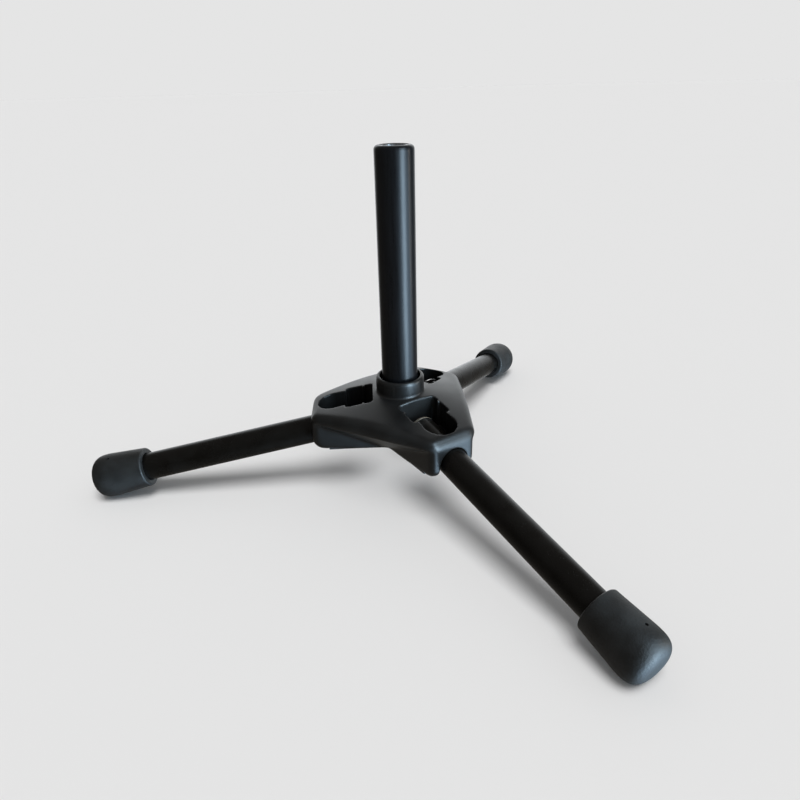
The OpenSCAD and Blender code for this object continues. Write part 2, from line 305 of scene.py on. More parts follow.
def grain_group():
    """Moulding grain: fine pits over broad, slow unevenness."""
    tree, source, out = group_of(
        "moulding grain",
        [
            ("Grain Size", "NodeSocketFloat", 2200.0),
            ("Broad Size", "NodeSocketFloat", 60.0),
            ("Broad Share", "NodeSocketFloat", 0.35),
        ],
        [("Height", "NodeSocketFloat"), ("Mask", "NodeSocketFloat")],
    )
    place = add(tree, "ShaderNodeTexCoord").outputs["Object"]
    fine_links = {"Vector": place, "Scale": source.outputs["Grain Size"], "Detail": 3.0, "Roughness": 0.6}
    fine = add(tree, "ShaderNodeTexNoise", fine_links)
    broad_links = {"Vector": place, "Scale": source.outputs["Broad Size"], "Detail": 2.0}
    broad = add(tree, "ShaderNodeTexNoise", broad_links)
    share = math_node(tree, "MULTIPLY", broad.outputs["Fac"], source.outputs["Broad Share"])
    tree.links.new(math_node(tree, "ADD", fine.outputs["Fac"], share), out.inputs["Height"])
    tree.links.new(ranged(tree, broad.outputs["Fac"], 0.35, 0.65), out.inputs["Mask"])
    return tree


def wear_group():
    """Rubbed edges and corners, broken up so that they aren't an even line."""
    tree, source, out = group_of(
        "edge wear",
        [
            ("Low", "NodeSocketFloat", 0.53),
            ("High", "NodeSocketFloat", 0.62),
            ("Break Up", "NodeSocketFloat", 420.0),
        ],
        [("Mask", "NodeSocketFloat")],
    )
    place = add(tree, "ShaderNodeTexCoord").outputs["Object"]
    corner = add(tree, "ShaderNodeNewGeometry").outputs["Pointiness"]
    edge = ranged(tree, corner, source.outputs["Low"], source.outputs["High"])
    noise_links = {"Vector": place, "Scale": source.outputs["Break Up"], "Detail": 4.0}
    noise = add(tree, "ShaderNodeTexNoise", noise_links)
    broken = ranged(tree, noise.outputs["Fac"], 0.38, 0.66)
    tree.links.new(math_node(tree, "MULTIPLY", edge, broken), out.inputs["Mask"])
    return tree


def dust_group():
    """Specks and a thin film of dust where the surface faces up."""
    tree, source, out = group_of(
        "settled dust",
        [("Amount", "NodeSocketFloat", 0.4), ("Speck Size", "NodeSocketFloat", 900.0)],
        [("Mask", "NodeSocketFloat")],
    )
    place = add(tree, "ShaderNodeTexCoord").outputs["Object"]
    normal = add(tree, "ShaderNodeNewGeometry").outputs["Normal"]
    up = add(tree, "ShaderNodeSeparateXYZ", {0: normal}).outputs["Z"]
    facing = ranged(tree, up, 0.35, 0.95)
    cell_links = {"Vector": place, "Scale": source.outputs["Speck Size"], "Randomness": 1.0}
    cells = add(tree, "ShaderNodeTexVoronoi", cell_links)
    specks = ranged(tree, cells.outputs["Distance"], 0.16, 0.08)
    patch = add(tree, "ShaderNodeTexNoise", {"Vector": place, "Scale": 140.0, "Detail": 5.0})
    film = ranged(tree, patch.outputs["Fac"], 0.5, 0.8)
    both = math_node(tree, "MULTIPLY", math_node(tree, "MULTIPLY", specks, film), facing)
    tree.links.new(math_node(tree, "MULTIPLY", both, source.outputs["Amount"]), out.inputs["Mask"])
    return tree


def streak_group():
    """Fine lines along one direction, as drawn, turned or wiped surfaces have."""
    tree, source, out = group_of(
        "fine streaks",
        [("Stretch", "NodeSocketVector", (1.0, 1.0, 1.0)), ("Size", "NodeSocketFloat", 600.0)],
        [("Height", "NodeSocketFloat"), ("Mask", "NodeSocketFloat")],
    )
    place = add(tree, "ShaderNodeTexCoord").outputs["Object"]
    stretched = {0: place, 1: source.outputs["Stretch"]}
    along = add(tree, "ShaderNodeVectorMath", stretched, operation="MULTIPLY").outputs[0]
    line_links = {"Vector": along, "Scale": source.outputs["Size"], "Detail": 4.0, "Roughness": 0.65}
    lines = add(tree, "ShaderNodeTexNoise", line_links)
    tree.links.new(lines.outputs["Fac"], out.inputs["Height"])
    tree.links.new(ranged(tree, lines.outputs["Fac"], 0.35, 0.65), out.inputs["Mask"])
    return tree


GRAIN, WEAR, DUST, STREAKS = grain_group(), wear_group(), dust_group(), streak_group()


# ---------------------------------------------------------------- materials


def use(tree, group, links=()):
    node = add(tree, "ShaderNodeGroup", node_tree=group)
    for socket, source in dict(links).items():
        node.inputs[socket].default_value = source
    return node


def blended(tree, mask, a, b):
    """A colour that goes from a to b with the mask."""
    node = add(tree, "ShaderNodeMix", {"Factor": mask}, data_type="RGBA")
    for socket, source in ((6, a), (7, b)):
        if isinstance(source, bpy.types.NodeSocket):
            tree.links.new(source, node.inputs[socket])
        else:
            node.inputs[socket].default_value = (*source, 1)
    return node.outputs[2]


def material_of(name, **constants):
    """A new material and its Principled shader, with its constant values set on the shader's sockets."""
    material = bpy.data.materials.new(name)
    material.use_nodes = True
    tree = material.node_tree
    shader = tree.nodes["Principled BSDF"]
    for socket, value in constants.items():
        shader.inputs[socket.replace("_", " ")].default_value = value
    return material, tree, shader


def bump(tree, shader, height, distance):
    node = add(tree, "ShaderNodeBump", {"Height": height, "Distance": distance, "Strength": 1.0})
    tree.links.new(node.outputs[0], shader.inputs["Normal"])


def moulded_plastic(name, dark, pale, rough, grain=2200.0, depth=0.00002, dust=0.25, wear=0.5):
    material, tree, shader = material_of(name)
    grained = use(tree, GRAIN, {"Grain Size": grain})
    worn = use(tree, WEAR).outputs["Mask"]
    dusty = use(tree, DUST, {"Amount": dust}).outputs["Mask"]
    colour = blended(tree, grained.outputs["Mask"], dark, pale)
    rubbed = math_node(tree, "MULTIPLY", worn, wear)
    colour = blended(tree, rubbed, colour, tuple(3.2 * c for c in pale))
    colour = blended(tree, dusty, colour, (0.30, 0.29, 0.27))
    tree.links.new(colour, shader.inputs["Base Color"])
    base = ranged(tree, grained.outputs["Mask"], 0.0, 1.0, rough - 0.04, rough + 0.05)
    shine = math_node(tree, "MULTIPLY", worn, -0.10)
    tree.links.new(math_node(tree, "ADD", base, shine, clamp=True), shader.inputs["Roughness"])
    bump(tree, shader, grained.outputs["Height"], depth)
    return material


def satin_sleeve():
    """The post's sleeve: smooth black plastic with faint marks along its length."""
    material, tree, shader = material_of("satin black sleeve", Specular_IOR_Level=0.26)
    marks = use(tree, STREAKS, {"Stretch": (1.0, 1.0, 0.06), "Size": 700.0})
    grained = use(tree, GRAIN, {"Grain Size": 2600.0, "Broad Size": 40.0})
    dusty = use(tree, DUST, {"Amount": 0.3}).outputs["Mask"]
    colour = blended(tree, marks.outputs["Mask"], (0.0035, 0.0038, 0.0046), (0.0055, 0.0058, 0.0068))
    colour = blended(tree, dusty, colour, (0.30, 0.29, 0.27))
    tree.links.new(colour, shader.inputs["Base Color"])
    rough = ranged(tree, marks.outputs["Mask"], 0.0, 1.0, 0.27, 0.34)
    tree.links.new(rough, shader.inputs["Roughness"])
    height = math_node(tree, "ADD", marks.outputs["Height"], grained.outputs["Height"])
    bump(tree, shader, height, 0.000004)
    return material


def powder_coat():
    """The legs' black powder coat, with its orange peel."""
    material, tree, shader = material_of("black powder coat", Specular_IOR_Level=0.27)
    peel = use(tree, GRAIN, {"Grain Size": 1100.0, "Broad Size": 90.0, "Broad Share": 0.5})
    worn = use(tree, WEAR).outputs["Mask"]
    dusty = use(tree, DUST, {"Amount": 0.35, "Speck Size": 1100.0}).outputs["Mask"]
    colour = blended(tree, peel.outputs["Mask"], (0.0024, 0.0018, 0.0012), (0.0042, 0.0034, 0.0026))
    colour = blended(tree, worn, colour, (0.06, 0.06, 0.06))
    colour = blended(tree, dusty, colour, (0.30, 0.29, 0.27))
    tree.links.new(colour, shader.inputs["Base Color"])
    tree.links.new(ranged(tree, peel.outputs["Mask"], 0.0, 1.0, 0.25, 0.32), shader.inputs["Roughness"])
    bump(tree, shader, peel.outputs["Height"], 0.00001)
    return material


def textured_rubber():
    """The feet's matt rubber, with a pebbled skin."""
    material, tree, shader = material_of("textured rubber", Specular_IOR_Level=0.52)
    place = add(tree, "ShaderNodeTexCoord").outputs["Object"]
    pebbles = add(tree, "ShaderNodeTexVoronoi", {"Vector": place, "Scale": 1500.0}, feature="SMOOTH_F1")
    grained = use(tree, GRAIN, {"Grain Size": 3200.0, "Broad Size": 110.0})
    dusty = use(tree, DUST, {"Amount": 0.5, "Speck Size": 1300.0}).outputs["Mask"]
    worn = use(tree, WEAR).outputs["Mask"]
    colour = blended(tree, grained.outputs["Mask"], (0.0070, 0.0068, 0.0064), (0.0140, 0.0138, 0.0130))
    colour = blended(tree, math_node(tree, "MULTIPLY", worn, 0.5), colour, (0.09, 0.09, 0.095))
    colour = blended(tree, dusty, colour, (0.28, 0.27, 0.25))
    tree.links.new(colour, shader.inputs["Base Color"])
    tree.links.new(ranged(tree, grained.outputs["Mask"], 0.0, 1.0, 0.44, 0.58), shader.inputs["Roughness"])
    height = math_node(tree, "ADD", pebbles.outputs["Distance"], grained.outputs["Height"])
    bump(tree, shader, height, 0.00009)
    return material


def bare_metal(name, dark, pale, rough, stretch=(1.0, 1.0, 1.0), stain=(0.20, 0.17, 0.14)):
    material, tree, shader = material_of(name, Metallic=1.0)
    lines = use(tree, STREAKS, {"Stretch": stretch, "Size": 1400.0})
    grained = use(tree, GRAIN, {"Grain Size": 900.0, "Broad Size": 150.0})
    colour = blended(tree, lines.outputs["Mask"], dark, pale)
    colour = blended(tree, math_node(tree, "MULTIPLY", grained.outputs["Mask"], 0.3), colour, stain)
    tree.links.new(colour, shader.inputs["Base Color"])
    polish = ranged(tree, lines.outputs["Mask"], 0.0, 1.0, rough - 0.06, rough + 0.08)
    tree.links.new(polish, shader.inputs["Roughness"])
    bump(tree, shader, lines.outputs["Height"], 0.000008)
    return material


HUB_PLASTIC = moulded_plastic(
    "charcoal moulded plastic", (0.0052, 0.0050, 0.0048), (0.0086, 0.0083, 0.0080), 0.36, depth=0.00003,
)
SLEEVE = satin_sleeve()
LEG_PAINT = powder_coat()
RUBBER = textured_rubber()
# Painted light: the plug's own brown-black colour is lightened to tan here, standing in for the light that
# falls on its domed end through the lobe's window
PLUG_WITH_PAINTED_LIGHT = moulded_plastic(
    "brown black plug plastic", (0.115, 0.095, 0.070), (0.160, 0.132, 0.098), 0.40, grain=1500.0,
)
NYLON = moulded_plastic("black nylon", (0.012, 0.012, 0.013), (0.020, 0.020, 0.021), 0.45, wear=0.0)
STEEL = bare_metal("ground steel", (0.42, 0.43, 0.45), (0.62, 0.63, 0.65), 0.30, (1.0, 1.0, 0.1))
ZINC = bare_metal("zinc plated steel", (0.50, 0.52, 0.55), (0.68, 0.70, 0.73), 0.34)
BLACK_STEEL = bare_metal(
    "blackened steel", (0.030, 0.031, 0.034), (0.060, 0.061, 0.065), 0.38, stain=(0.030, 0.024, 0.020),
)
BRASS = bare_metal("turned brass", (0.62, 0.46, 0.20), (0.80, 0.62, 0.30), 0.28, (0.1, 0.1, 1.0))
PLATE_PAINT = moulded_plastic(
    "black plate paint", (0.016, 0.016, 0.018), (0.024, 0.024, 0.026), 0.42, grain=1400.0, wear=0.8,
)


# ---------------------------------------------------------------- hub


def cap_prism():
    """The block under the hub's top: a triangle with its corners cut off and a soft shoulder."""
    points = []
    for i in range(3):
        for side in (-1, 1):
            corner = leg_turn(i) @ Vector((LOBE_REACH, side * LOBE_HALF, 0))
            points.append((corner.x, corner.y))
    bm = prism(points, HUB_Z, CONE_TOP)
    upright = [e for e in bm.edges if abs(e.verts[0].co.z - e.verts[1].co.z) > 1]
    soften(bm, upright, 5.0, 7)
    rim = [e for e in bm.edges if min(v.co.z for v in e.verts) > CONE_TOP - 0.01]
    soften(bm, rim, 3.8, 7)
    return bm


def lower_to_cone(piece):
    """Sinks a flat top to the hub's shallow cone, fading out down the sides."""
    fade_from, fade_to = HUB_Z + 3.0, CONE_TOP - 4.2
    for v in piece.data.vertices:
        share = min(max((v.co.z - fade_from) / (fade_to - fade_from), 0.0), 1.0)
        v.co.z -= share * math.hypot(v.co.x, v.co.y) * math.tan(LEG_SLOPE)


def end_wedge(i, lean):
    """One of the cuts along a lobe's top end edge, which smoothing turns into a broad, soft edge."""
    soft = 7.0
    centre_x = LOBE_REACH - soft
    centre_z = CONE_TOP - centre_x * math.tan(LEG_SLOPE) - soft / math.cos(LEG_SLOPE)
    bm = block((soft, -30, -20), (soft + 20, 30, 20))
    place = Matrix.Translation((centre_x, 0, centre_z)) @ Matrix.Rotation(math.radians(-lean), 4, "Y")
    return placed(bm, leg_turn(i) @ place)


def flank_wedge(i):
    """What is cut away below the sloping flank between two lobes."""
    slope = math.atan2(FLANK_RISE, SIDE_REACH - VALLEY_REACH)
    bm = block((-90, -90, -90), (90, 90, 0))
    place = flank_turn(i) @ Matrix.Translation((VALLEY_REACH, 0, HUB_Z))
    return placed(bm, place @ Matrix.Rotation(-slope, 4, "Y"))


def lobe(i):
    """One lobe's block, with its round heel and soft corners."""
    bm = block((2, -LOBE_HALF, HUB_Z), (LOBE_REACH, LOBE_HALF, AXIS_H))
    heel = [e for e in bm.edges if all(v.co.x > 50 and v.co.z < HUB_Z + 1 for v in e.verts)]
    soften(bm, heel, 7.0, 8)
    sides = [
        e for e in bm.edges
        if all(abs(abs(v.co.y) - LOBE_HALF) < 0.01 for v in e.verts)
        and e.verts[0].co.y * e.verts[1].co.y > 0
        and all(v.co.x > 2.5 for v in e.verts)
        and not all(v.co.z > AXIS_H - 0.01 for v in e.verts)
    ]
    bottom = [e for e in sides if all(v.co.z < HUB_Z + 0.01 for v in e.verts)]
    soften(bm, set(sides) - set(bottom), 4.2, 6)
    return placed(bm, leg_turn(i))


def collar_ring():
    """The collar, with a small flare at its foot and a round rim."""
    rim, foot_r = 1.8, 14.5
    profile = [(0, CONE_TOP - 8), (foot_r, CONE_TOP - 8), (foot_r, CONE_TOP - 3.8)]
    profile += [(foot_r - 0.6, CONE_TOP - 3.0), (COLLAR_R, CONE_TOP - 2.1)]
    profile += arc(COLLAR_R - rim, COLLAR_Z - rim, rim, 0, 90, 6)
    profile += [(0, COLLAR_Z)]
    return turned(profile, 96)


def channel(i):
    """The space a leg lies in: an arch over the tube, open below from the ledge outward."""
    angles = [math.pi * k / 24 for k in range(25)]
    arch = [(-(LEG_R + REST_GAP) * math.sin(a), -CHANNEL_R * math.cos(a)) for a in angles]
    outline = [(60, -CHANNEL_R)] + arch + [(60, CHANNEL_R)]
    return placed(prism(outline[::-1], TIP_S + LEDGE_LEN, TIP_S + 60), leg_axis(i))


def ledge_bore(i):
    return placed(rod(LEG_R + 0.35, TIP_S - SWING_GAP, TIP_S + LEDGE_LEN + 2), leg_axis(i))


def window_slot(i):
    """The narrow part of a window, with its round outer end."""
    end_r, straight_x, inner = 9.4, PIVOT_REACH - 6, BOSS_REACH + 0.1
    angles = [math.pi * k / 24 for k in range(25)]
    outline = [(inner, -CHANNEL_R), (straight_x, -CHANNEL_R)]
    outline += [(PIVOT_REACH + end_r * math.sin(a), -end_r * math.cos(a)) for a in angles]
    outline += [(straight_x, CHANNEL_R), (inner, CHANNEL_R)]
    return placed(prism(outline, PIVOT_Z, COLLAR_Z + 8), leg_turn(i))


def window_pocket(i):
    """The wide part of a window, less the two ribs that guide the tube's end."""
    half = CHANNEL_R + 3.0
    rib_x, rib_half, rib_y = BOSS_REACH + 5.4, 0.6, CHANNEL_R + 1.7
    near, beyond, end = rib_x - rib_half, rib_x + rib_half, BOSS_REACH + 15.6
    side = [(BOSS_REACH, half), (near, half), (near, rib_y), (beyond, rib_y), (beyond, half), (end, half)]
    outline = [(x, -y) for x, y in side] + side[::-1]
    floor = AXIS_H - BOSS_REACH * math.tan(LEG_SLOPE) - 2.0
    bm = prism(outline, floor, COLLAR_Z + 5)
    corners = [
        e for e in bm.edges
        if abs(e.verts[0].co.z - e.verts[1].co.z) > 1 and abs(abs(e.verts[0].co.y) - half) < 0.01
        and min(abs(e.verts[0].co.x - BOSS_REACH), abs(e.verts[0].co.x - end)) < 0.01
    ]
    soften(bm, corners, 1.9, 4)
    return placed(bm, leg_turn(i))


def pin_seat(i):
    """The blind slots under a lobe that hold the ends of the pivot pin."""
    low = (PIVOT_REACH - PIN_SLOT_HALF, -PIN_HALF, HUB_Z - 5)
    high = (PIVOT_REACH + PIN_SLOT_HALF, PIN_HALF, PIVOT_Z + 2.5)
    return placed(block(low, high), leg_turn(i))


def bush_room(i):
    """What is cut away beside the bush where the window's round end is narrower than the channel."""
    return placed(rod(BUSH_R + REST_GAP, -CHANNEL_R, CHANNEL_R, 48), pivot_axis(i))


def plate_recess(i):
    half = PLATE_HALF + 0.05
    return placed(block((0, -half, HUB_Z - 5), (PLATE_ARM + 0.2, half, HUB_Z + PLATE_T)), leg_turn(i))


def plate_tab(i, side):
    """One of the tabs that close a pin's slot from below."""
    near, far = CHANNEL_R + 1.2, CHANNEL_R + 3.2
    half, low = 2.3, HUB_Z + PLATE_T - 0.5
    y_low, y_high = sorted((side * near, side * far))
    bm = block((PIVOT_REACH - half, y_low, low), (PIVOT_REACH + half, y_high, PIVOT_Z - PIN_SLOT_HALF))
    soften(bm, [e for e in bm.edges if min(v.co.z for v in e.verts) > HUB_Z + PLATE_T], 0.3)
    return placed(bm, leg_turn(i))


def plate_cover():
    """The keeper plate: three forked arms, and tabs that hold the pins."""
    half, slot = PLATE_HALF - 0.1, CHANNEL_R + 0.2
    low, high = HUB_Z + 0.1, HUB_Z + PLATE_T
    under, over = low - 5, high + 5
    legs = range(3)
    arms = []
    for i in legs:
        start, arm_half = (-0.5 if i else 0), half - 0.02 * i
        arm = block((start, -arm_half, low), (PLATE_ARM, arm_half, high))
        arms.append(placed(arm, leg_turn(i)))
    plate = combined(to_object(arms[0], "plate"), "UNION", arms[1:])
    cuts = [placed(block((TIP_S + LEDGE_LEN, -slot, under), (80, slot, over)), leg_turn(i)) for i in legs]
    cuts += [rod(BOLT_R + 0.2, under, over, 48)]
    cuts += [placed(rod(1.7, under, over, 32), screw_axis(i)) for i in legs]
    combined(plate, "DIFFERENCE", cuts)
    # An edge of almost no length clamps this rounding, so the plate's edges stay sharp
    rounding = {"width": 0.35, "segments": 3, "limit_method": "ANGLE", "angle_limit": math.radians(50)}
    baked(plate, ("BEVEL", rounding))
    combined(plate, "UNION", [plate_tab(i, side) for i in legs for side in (-1, 1)])
    return finished(plate, "plate_cover", "base", "plate_steel", PLATE_PAINT, "keeper_plate", smooth=35)


def hex_bolt():
    """The central bolt: a chamfered hexagon head and a shank with its end taken off."""
    high = HUB_Z - WASHER_T
    low, end = high - 4, high + 16
    across_flats = 10.0
    corner = across_flats / 2 / math.cos(math.radians(30))
    bolt = to_object(rod(corner, low, high, 6), "bolt")
    wide = corner + 0.1
    crown = turned([(0, low), (4.6, low), (wide, low + 0.75), (wide, high), (0, high)], 96)
    combined(bolt, "INTERSECT", [crown])
    dish_r = BOLT_R + 0.1
    dish = turned([(0, low - 1), (dish_r, low - 1), (dish_r, low + 0.25), (0, low + 0.25)], 64)
    combined(bolt, "DIFFERENCE", [dish])
    shank = [(0, high - 0.5), (BOLT_R, high - 0.5), (BOLT_R, end - 0.5), (BOLT_R - 0.5, end), (0, end)]
    combined(bolt, "UNION", [turned(shank, 64)])
    return finished(bolt, "centre_bolt", "base", "zinc_steel", ZINC, "post_bolt", smooth=30)


def pan_screws():
    """The plate's three screws, each with a rounded head and a cross in it."""
    low, end, shank_r = HUB_Z - 2.0, HUB_Z + 11.0, 1.5
    head = [(0, low), (1.6, low + 0.06), (2.5, low + 0.45), (2.92, low + 1.05), (3.0, low + 1.7)]
    profile = head + [(2.9, HUB_Z), (shank_r, HUB_Z), (shank_r, end - 0.7), (shank_r - 0.5, end), (0, end)]
    arm, slot = 1.6, 0.28
    bm = bmesh.new()
    for i in range(3):
        piece = to_object(turned(profile, 64), "screw")
        cross = [block((-x, -y, low - 1), (x, y, low + 0.9)) for x, y in ((arm, slot), (slot, arm))]
        combined(piece, "DIFFERENCE", cross)
        piece.data.transform(screw_axis(i))
        bm.from_mesh(piece.data)
        bpy.data.objects.remove(piece)
    screws = to_object(bm, "screws")
    return finished(screws, "pan_screws", "base", "zinc_steel", ZINC, "plate_screws", smooth=30)


def mould_tick(i):
    """The small witness line beside each arch."""
    low = (LOBE_REACH - 0.35, -11.0, AXIS_H - 9.0)
    high = (LOBE_REACH + 2, -10.4, AXIS_H - 5.6)
    return placed(block(low, high), leg_turn(i))


def hub_shell():
    """The whole hub: cap and lobes smoothed together, the collar joined on, then every hollow cut."""
    fine = 0.42
    cap = to_object(cap_prism(), "cap")
    baked(cap, ("REMESH", {"mode": "VOXEL", "voxel_size": 1.0}))
    lower_to_cone(cap)
    legs = range(3)
    combined(cap, "DIFFERENCE", [flank_wedge(i) for i in legs])
    combined(cap, "DIFFERENCE", [end_wedge(i, lean) for i in legs for lean in (17, 31, 45, 60)])
    combined(cap, "UNION", [lobe(i) for i in legs])
    baked(
        cap,
        ("REMESH", {"mode": "VOXEL", "voxel_size": 0.7}),
        ("SMOOTH", {"factor": 0.5, "iterations": 10}),
    )
    combined(cap, "UNION", [collar_ring()])
    above = COLLAR_Z + 20
    mouth, core_bore = rod(COLLAR_MOUTH_R, MOUTH_Z, above, 96), rod(CORE_R + 0.05, HUB_Z + 5.5, above)
    combined(cap, "DIFFERENCE", [mouth, core_bore])
    for cut in (
        channel, ledge_bore, window_slot, window_pocket, bush_room, pin_seat, plate_recess, mould_tick,
    ):
        combined(cap, "DIFFERENCE", [cut(i) for i in legs])
    baked(
        cap,
        ("REMESH", {"mode": "VOXEL", "voxel_size": fine}),
        ("SMOOTH", {"factor": 0.5, "iterations": 5}),
        ("DECIMATE", {"ratio": 0.4}),
    )
    return finished(cap, "hub_shell", "base", "hub_plastic", HUB_PLASTIC, "hub_body", smooth=40)


# ---------------------------------------------------------------- post


def post_skin():
    """The sleeve: straight, with a round top edge and a small lip inside it."""
    inner, edge = CORE_R + SEAT_GAP, 2.2
    profile = [(inner, MOUTH_Z), (POST_R - 0.4, MOUTH_Z), (POST_R, MOUTH_Z + 0.4)]
    profile += [(POST_R, MOUTH_Z + (POST_TOP - 2.4 - MOUTH_Z) * k / 12) for k in range(1, 12)]
    profile += arc(POST_R - edge, POST_TOP - edge, edge, 0, 90, 8)
    profile += [(inner + 0.25, POST_TOP), (inner, POST_TOP - 0.25)]
    piece = to_object(turned(profile, 128, closed=True), "post_skin")
    return finished(piece, "post_skin", "base", "post_plastic", SLEEVE, "post_sleeve", smooth=35)


def post_core():
    """The steel tube inside the sleeve, cut square, with its burr taken off."""
    inner = CORE_R - 1.0
    profile = [(inner, core_low.z), (CORE_R, core_low.z), (CORE_R, POST_TOP - 0.5)]
    profile += [(CORE_R - 0.15, POST_TOP - 0.3), (inner + 0.2, POST_TOP - 0.3), (inner, POST_TOP - 0.55)]
    piece = to_object(turned(profile, 96, closed=True), "post_core")
    return finished(piece, "post_core", "base", "bare_steel", STEEL, "post_tube")


# ---------------------------------------------------------------- legs


def leg_tube(i):
    """A leg's tube, bored across for its bush."""
    inner, start = LEG_R - LEG_WALL, TUBE_START_S + 0.2
    profile = [(inner, TUBE_START_S), (LEG_R - 0.2, TUBE_START_S), (LEG_R, start)]
    profile += [(LEG_R, start + (TUBE_END_S - start) * k / 14) for k in range(1, 15)]
    profile += [(inner, TUBE_END_S)]
    tube = to_object(placed(turned(profile, 96, closed=True), leg_axis(i)), "tube")
    return combined(tube, "DIFFERENCE", [placed(rod(BUSH_R + SEAT_GAP, -20, 20, 48), pivot_axis(i))])


def tube_plug(i):
    """The domed plug in a tube's inner end, hollow behind its face."""
    start, end = TUBE_START_S, TUBE_START_S + 8
    spigot = LEG_R - LEG_WALL - SEAT_GAP
    angles = [math.radians(7.5 * k) for k in range(12)]
    profile = [(LEG_R * math.sin(a), start - CAP_DOME * math.cos(a)) for a in angles]
    profile += [(LEG_R, start - 0.25), (LEG_R - 0.15, start), (spigot, start), (spigot, end - 0.4)]
    profile += [(spigot - 0.4, end), (spigot - 1.5, end), (spigot - 1.5, start), (0, start)]
    return to_object(placed(turned(profile, 96), leg_axis(i)), "plug")


def rubber_foot(i):
    """A tapered rubber boot with a soft open end and a squarish domed tip, cut flat where it stands."""
    power, lip, bore = 2 / FOOT_SQUARENESS, 1.0, LEG_R + SEAT_GAP
    start, flare = FOOT_START_S + lip, FOOT_R - FOOT_MOUTH_R
    length = FOOT_WIDE_S - FOOT_START_S - lip
    profile = [(0, TUBE_END_S), (bore, TUBE_END_S), (bore, FOOT_START_S + 0.5), (LEG_R + 0.5, FOOT_START_S)]
    profile += arc(FOOT_MOUTH_R - lip, start, lip, -90, 0, 5)
    profile += [(FOOT_MOUTH_R + flare * k / 10, start + length * k / 10) for k in range(1, 10)]
    angles = [math.radians(90 * k / 28) for k in range(28)]
    profile += [
        (FOOT_R * math.cos(a) ** power, FOOT_WIDE_S + FOOT_DOME * math.sin(a) ** power)
        for a in angles
    ]
    profile += [(0, FOOT_TIP_S)]
    bm = placed(turned(profile, 128), leg_axis(i))
    cut = bmesh.ops.bisect_plane(
        bm, geom=bm.verts[:] + bm.edges[:] + bm.faces[:],
        plane_co=(0, 0, 0.001), plane_no=(0, 0, -1), clear_outer=True,
    )
    rim = [e for e in cut["geom_cut"] if isinstance(e, bmesh.types.BMEdge)]
    bmesh.ops.edgeloop_fill(bm, edges=rim)
    vent_r, vent_turn, vent_s = 0.8, math.radians(-12), TUBE_END_S + 2.1
    upright = Matrix.Translation((0, 0, vent_s)) @ Matrix.Rotation(-math.pi / 2, 4, "Y")
    place = leg_axis(i) @ Matrix.Rotation(vent_turn, 4, "Z") @ upright
    return combined(to_object(bm, "foot"), "DIFFERENCE", [placed(rod(vent_r, 8, 14, 24), place)])


def leg_pieces(i):
    name = LEG_NAMES[i]
    body = name + "_leg"
    finished(leg_tube(i), name + "_tube", body, "leg_paint", LEG_PAINT, name + "_leg_tube")
    finished(tube_plug(i), name + "_plug", body, "cap_plastic", PLUG_WITH_PAINTED_LIGHT, name + "_leg_cap", smooth=35)
    finished(rubber_foot(i), name + "_boot", body, "foot_rubber", RUBBER, name + "_foot", smooth=35)


hub_shell()
plate_cover()
hex_bolt()
pan_screws()
post_skin()
post_core()
for leg in range(3):
    leg_pieces(leg)

CAD_FINISHES = {"post_insert": BRASS, "post_washer": ZINC}
for leg_name in LEG_NAMES:
    CAD_FINISHES[leg_name + "_pivot_pin"] = BLACK_STEEL
    CAD_FINISHES[leg_name + "_pivot_bush"] = NYLON
for node, material in CAD_FINISHES.items():
    mesh = frame["nodes"][node].data
    mesh.materials.clear()
    mesh.materials.append(material)


# ---------------------------------------------------------------- floor, light, camera


def pale_floor():
    bm = bmesh.new()
    bmesh.ops.create_grid(bm, x_segments=8, y_segments=8, size=40)
    floor = to_object(bm, "floor")
    floor.location.z = -0.00005
    material, tree, shader = material_of("pale floor", Roughness=1.0, Specular_IOR_Level=0.0)
    shader.inputs["Base Color"].default_value = (0.80, 0.80, 0.80, 1)
    floor.data.materials.append(material)
    floor.visible_glossy = False
    floor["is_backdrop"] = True


# Bright patches that only shiny surfaces see: direction, cosines where each starts and is full, and colour
GLOWS = (
    ((0.553, 0.830, 0.05), 0.66, 0.97, (1.50, 1.56, 1.60)),
    ((0.315, -0.834, -0.454), 0.74, 0.98, (3.2, 4.5, 5.8)),
)


def studio_world():
    """Even light for the floor, and a dim room with soft bright patches for what shines."""
    world = bpy.data.worlds.new("studio")
    world.use_nodes = True
    bpy.context.scene.world = world
    tree = world.node_tree
    tree.nodes.clear()
    direction = add(tree, "ShaderNodeTexCoord").outputs["Generated"]
    up = add(tree, "ShaderNodeSeparateXYZ", {0: direction}).outputs["Z"]
    room = add(tree, "ShaderNodeValToRGB", {0: ranged(tree, up, -0.6, 0.9)})
    ramp = room.color_ramp
    ramp.elements[0].position, ramp.elements[0].color = 0.0, (0.15, 0.14, 0.125, 1)
    ramp.elements[1].position, ramp.elements[1].color = 1.0, (0.20, 0.19, 0.18, 1)
    middle = ramp.elements.new(0.42)
    middle.color = (0.085, 0.078, 0.068, 1)
    room_light = room.outputs[0]
    for towards, low, high, colour in GLOWS:
        pair = {0: direction, 1: towards}
        facing = add(tree, "ShaderNodeVectorMath", pair, operation="DOT_PRODUCT").outputs["Value"]
        room_light = blended(tree, ranged(tree, facing, low, high), room_light, colour)
    path = add(tree, "ShaderNodeLightPath")
    shiny = add(tree, "ShaderNodeMix", {"Factor": path.outputs["Is Glossy Ray"]}, data_type="RGBA")
    shiny.inputs[6].default_value = (0.330, 0.330, 0.330, 1)
    tree.links.new(room_light, shiny.inputs[7])
    seen = add(tree, "ShaderNodeMix", {"Factor": path.outputs["Is Camera Ray"]}, data_type="RGBA")
    tree.links.new(shiny.outputs[2], seen.inputs[6])
    seen.inputs[7].default_value = (0.783, 0.783, 0.783, 1)
    back = add(tree, "ShaderNodeBackground", {"Color": seen.outputs[2], "Strength": 1.0})
    out = add(tree, "ShaderNodeOutputWorld")
    tree.links.new(back.outputs[0], out.inputs[0])


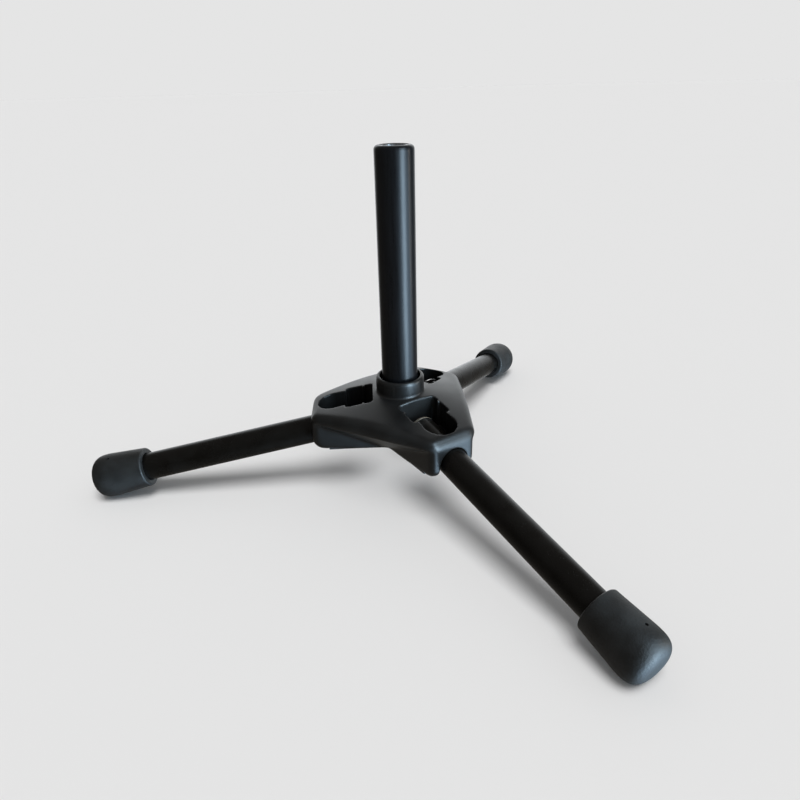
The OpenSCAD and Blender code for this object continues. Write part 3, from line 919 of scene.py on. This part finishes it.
def panel(name, place, target, size, power, colour, lit):
    """A soft rectangular light aimed at a point, which lights only the object."""
    light = bpy.data.lights.new(name, "AREA")
    light.shape, light.size, light.size_y = "RECTANGLE", size[0], size[1]
    light.energy, light.color = power, colour
    lamp = bpy.data.objects.new(name, light)
    bpy.context.scene.collection.objects.link(lamp)
    lamp.location = place
    lamp.rotation_euler = (Vector(target) - Vector(place)).to_track_quat("-Z", "Y").to_euler()
    lamp.visible_camera = False
    lamp.light_linking.receiver_collection = lit


def sun(name, turn, height, strength, spread, receivers, blockers):
    """A broad, distant light, from an angle round the object and above the floor."""
    light = bpy.data.lights.new(name, "SUN")
    light.energy, light.angle = strength, math.radians(spread)
    lamp = bpy.data.objects.new(name, light)
    bpy.context.scene.collection.objects.link(lamp)
    turn, height = math.radians(turn), math.radians(height)
    level = math.cos(height)
    towards = Vector((math.cos(turn) * level, math.sin(turn) * level, math.sin(height)))
    lamp.rotation_euler = (-towards).to_track_quat("-Z", "Y").to_euler()
    lamp.visible_glossy = False
    lamp.light_linking.receiver_collection = receivers
    lamp.light_linking.blocker_collection = blockers


def group_pieces(name, pieces):
    collection = bpy.data.collections.new(name)
    for piece in pieces:
        collection.objects.link(piece)
    return collection


def lights():
    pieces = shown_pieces()
    lit = group_pieces("lit pieces", pieces)
    ground = group_pieces("ground", [bpy.data.objects["floor"]])
    low_pieces = group_pieces("low pieces", [p for p in pieces if not p.name.startswith("post_")])
    leg_parts = group_pieces("leg pieces", [p for p in pieces if p.name.startswith(LEG_NAMES)])
    sun("key", -20, 52, 1.1, 24, lit, lit)
    sun("floor key", -106, 71, 1.65, 32, ground, leg_parts)
    sun("floor key under the hub", -106, 66, 0.52, 34, ground, low_pieces)
    aim = (0, 0, 0.09)
    panel("window", (0.31, -1.21, 0.05), aim, (0.50, 1.2), 30, (0.62, 0.83, 1.0), lit)
    panel("high window", (0.35, -0.95, 0.95), aim, (0.6, 0.5), 9, (0.62, 0.83, 1.0), lit)
    panel("side", (1.05, -0.70, 0.10), aim, (0.16, 0.9), 2.5, (1.0, 0.94, 0.84), lit)


def camera():
    """The viewing angle: a standing person's view from the front left, a little rolled."""
    around, dist, height = math.radians(-32.305), 0.32308, 0.21657
    yaw, pitch, roll = math.radians(0.054), math.radians(26.712), math.radians(-1.509)
    data = bpy.data.cameras.new("camera")
    data.sensor_width, data.lens = 36.0, 28.16415
    data.clip_start, data.clip_end = 0.01, 200
    seat = bpy.data.objects.new("camera", data)
    bpy.context.scene.collection.objects.link(seat)
    level = Vector((-math.sin(around + yaw), math.cos(around + yaw), 0))
    forward = level * math.cos(pitch) - Vector((0, 0, 1)) * math.sin(pitch)
    right = forward.cross(Vector((0, 0, 1))).normalized()
    up = right.cross(forward)
    across = right * math.cos(roll) + up * math.sin(roll)
    upward = -right * math.sin(roll) + up * math.cos(roll)
    turn = Matrix((across, upward, -forward)).transposed().to_4x4()
    place = (math.sin(around) * dist, -math.cos(around) * dist, height)
    seat.matrix_world = Matrix.Translation(place) @ turn
    bpy.context.scene.camera = seat


pale_floor()
studio_world()
lights()
camera()
bpy.context.scene.view_settings.view_transform = "Standard"
